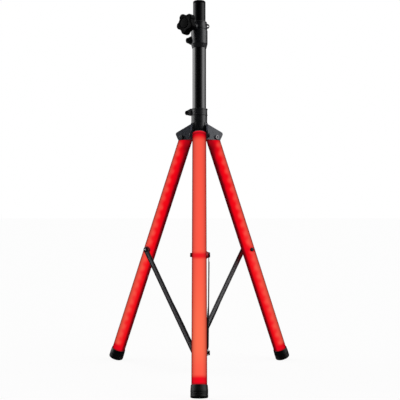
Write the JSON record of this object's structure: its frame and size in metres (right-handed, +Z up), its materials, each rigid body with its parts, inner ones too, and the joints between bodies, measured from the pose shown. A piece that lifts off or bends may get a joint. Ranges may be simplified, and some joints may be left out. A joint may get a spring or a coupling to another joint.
{
  "type": "speaker stand",
  "caption": "Telescoping tripod speaker stand with a sliding cast hub, folding legs of light-diffusing tube, flat braces and a star-knob height clamp.",
  "frame": {"origin": "On the pole's axis at floor level, where the three feet stand", "axes": "+Z runs up the pole; -Y points along the front leg; +X is to the right seen from the front leg's side, and the braces sit on that side of the front leg"},
  "size_m": [0.5418, 0.475, 1.038],
  "materials": {
    "tube_black": "gloss black powder coat",
    "cast_black": "satin black paint on a casting",
    "brace_black": "satin black paint",
    "moulded_black": "moulded black plastic",
    "knob_black": "fine-textured black plastic",
    "bolt_steel": "blackened steel",
    "screw_steel": "zinc-plated steel",
    "pad_brass": "turned brass",
    "control_shell": "fine-textured black plastic",
    "circuit_board": "solder mask",
    "ir_plastic": "dark red window",
    "button_grey": "moulded grey plastic",
    "diffuser_red": "frosted tube lit red from inside",
    "core_aluminium": "mill-finish extrusion",
    "board_white": "white solder mask",
    "led_light": "lit diodes",
    "foot_rubber": "moulded black rubber"
  },
  "bodies": {
    "mast": {"main_tube": "tube_black", "tube_plug": "moulded_black", "yoke": "cast_black", "yoke_bolts": "bolt_steel", "collar": "cast_black", "collar_bushing": "moulded_black", "collar_bolt": "bolt_steel"},
    "clamp_pad": {"clamp_pad": "pad_brass"},
    "star_knob": {"clamp_screw": "screw_steel", "star_knob": "knob_black", "knob_cap": "knob_black"},
    "pole": {"inner_tube": "tube_black", "pole_cap": "moulded_black", "pole_glide": "moulded_black"},
    "hub": {"hub_casting": "cast_black", "hub_bushing": "moulded_black", "hub_screw": "bolt_steel", "hub_pivot_bolts": "bolt_steel", "hub_pivot_nuts": "bolt_steel", "control_housing": "control_shell", "control_cover": "control_shell", "control_board": "circuit_board", "ir_window": "ir_plastic", "dc_jack": "control_shell"},
    "power_button": {"power_button": "button_grey"},
    "mode_button": {"mode_button": "button_grey"},
    "leg_front": {"leg_tube_front": "diffuser_red", "leg_top_plug_front": "moulded_black", "leg_core_front": "core_aluminium", "led_board_front": "board_white", "leds_front": "led_light", "leg_end_plug_front": "moulded_black", "foot_front": "foot_rubber", "brace_bolt_front": "bolt_steel", "brace_nut_front": "bolt_steel", "brace_saddles_front": "moulded_black"},
    "leg_right": {"leg_tube_right": "diffuser_red", "leg_top_plug_right": "moulded_black", "leg_core_right": "core_aluminium", "led_board_right": "board_white", "leds_right": "led_light", "leg_end_plug_right": "moulded_black", "foot_right": "foot_rubber", "brace_bolt_right": "bolt_steel", "brace_nut_right": "bolt_steel", "brace_saddles_right": "moulded_black"},
    "leg_left": {"leg_tube_left": "diffuser_red", "leg_top_plug_left": "moulded_black", "leg_core_left": "core_aluminium", "led_board_left": "board_white", "leds_left": "led_light", "leg_end_plug_left": "moulded_black", "foot_left": "foot_rubber", "brace_bolt_left": "bolt_steel", "brace_nut_left": "bolt_steel", "brace_saddles_left": "moulded_black"},
    "brace_front": {"brace_front": "brace_black"},
    "brace_right": {"brace_right": "brace_black"},
    "brace_left": {"brace_left": "brace_black"}
  },
  "joints": [
    {"name": "fold", "type": "hinge", "parent": "mast", "child": "brace_front", "pos_m": [0, 0, 0.05], "axis": [-1, 0, 0], "range_deg": [0, 19.5]},
    {"name": "leg_front_fold", "type": "hinge", "parent": "brace_front", "child": "leg_front", "pos_m": [0, -0.165, 0.3365], "axis": [1, 0, 0], "range_deg": [0, 37.99]},
    {"name": "hub_fold", "type": "hinge", "parent": "leg_front", "child": "hub", "pos_m": [0, -0.043, 0.656], "axis": [1, 0, 0], "range_deg": [-18.49, 0]},
    {"name": "leg_right_fold", "type": "hinge", "parent": "hub", "child": "leg_right", "pos_m": [0.03724, 0.0215, 0.656], "axis": [-0.5, 0.866, 0], "range_deg": [0, 18.49]},
    {"name": "brace_right_fold", "type": "hinge", "parent": "leg_right", "child": "brace_right", "pos_m": [0.1429, 0.0825, 0.3365], "axis": [-0.5, 0.866, 0], "range_deg": [-37.99, 0]},
    {"name": "leg_left_fold", "type": "hinge", "parent": "hub", "child": "leg_left", "pos_m": [-0.03724, 0.0215, 0.656], "axis": [-0.5, -0.866, 0], "range_deg": [0, 18.49]},
    {"name": "brace_left_fold", "type": "hinge", "parent": "leg_left", "child": "brace_left", "pos_m": [-0.1429, 0.0825, 0.3365], "axis": [-0.5, -0.866, 0], "range_deg": [-37.99, 0]},
    {"name": "pole_height", "type": "slide", "parent": "mast", "child": "pole", "axis": [0, 0, 1], "range_m": [0, 0.62]},
    {"name": "clamp_travel", "type": "slide", "parent": "mast", "child": "clamp_pad", "axis": [-0.6293, -0.7771, 0], "range_m": [0, 0.0038]},
    {"name": "clamp_turn", "type": "hinge", "parent": "clamp_pad", "child": "star_knob", "pos_m": [0, 0, 0.962], "axis": [-0.6293, -0.7771, 0], "range_deg": [0, 1080]},
    {"name": "power_press", "type": "slide", "parent": "hub", "child": "power_button", "axis": [0, -1, 0], "range_m": [0, 0.0008], "stiffness_N_per_m": 900},
    {"name": "mode_press", "type": "slide", "parent": "hub", "child": "mode_button", "axis": [0, -1, 0], "range_m": [0, 0.0008], "stiffness_N_per_m": 900}
  ],
  "couplings": [
    {"joint": "leg_front_fold", "follows": "fold", "ratio": 1.9225},
    {"joint": "hub_fold", "follows": "fold", "ratio": -0.9225},
    {"joint": "leg_right_fold", "follows": "fold", "ratio": 0.9225},
    {"joint": "brace_right_fold", "follows": "fold", "ratio": -1.9225},
    {"joint": "leg_left_fold", "follows": "fold", "ratio": 0.9225},
    {"joint": "brace_left_fold", "follows": "fold", "ratio": -1.9225},
    {"joint": "clamp_travel", "follows": "clamp_turn", "m_per_rad": 0.00019894}
  ]
}
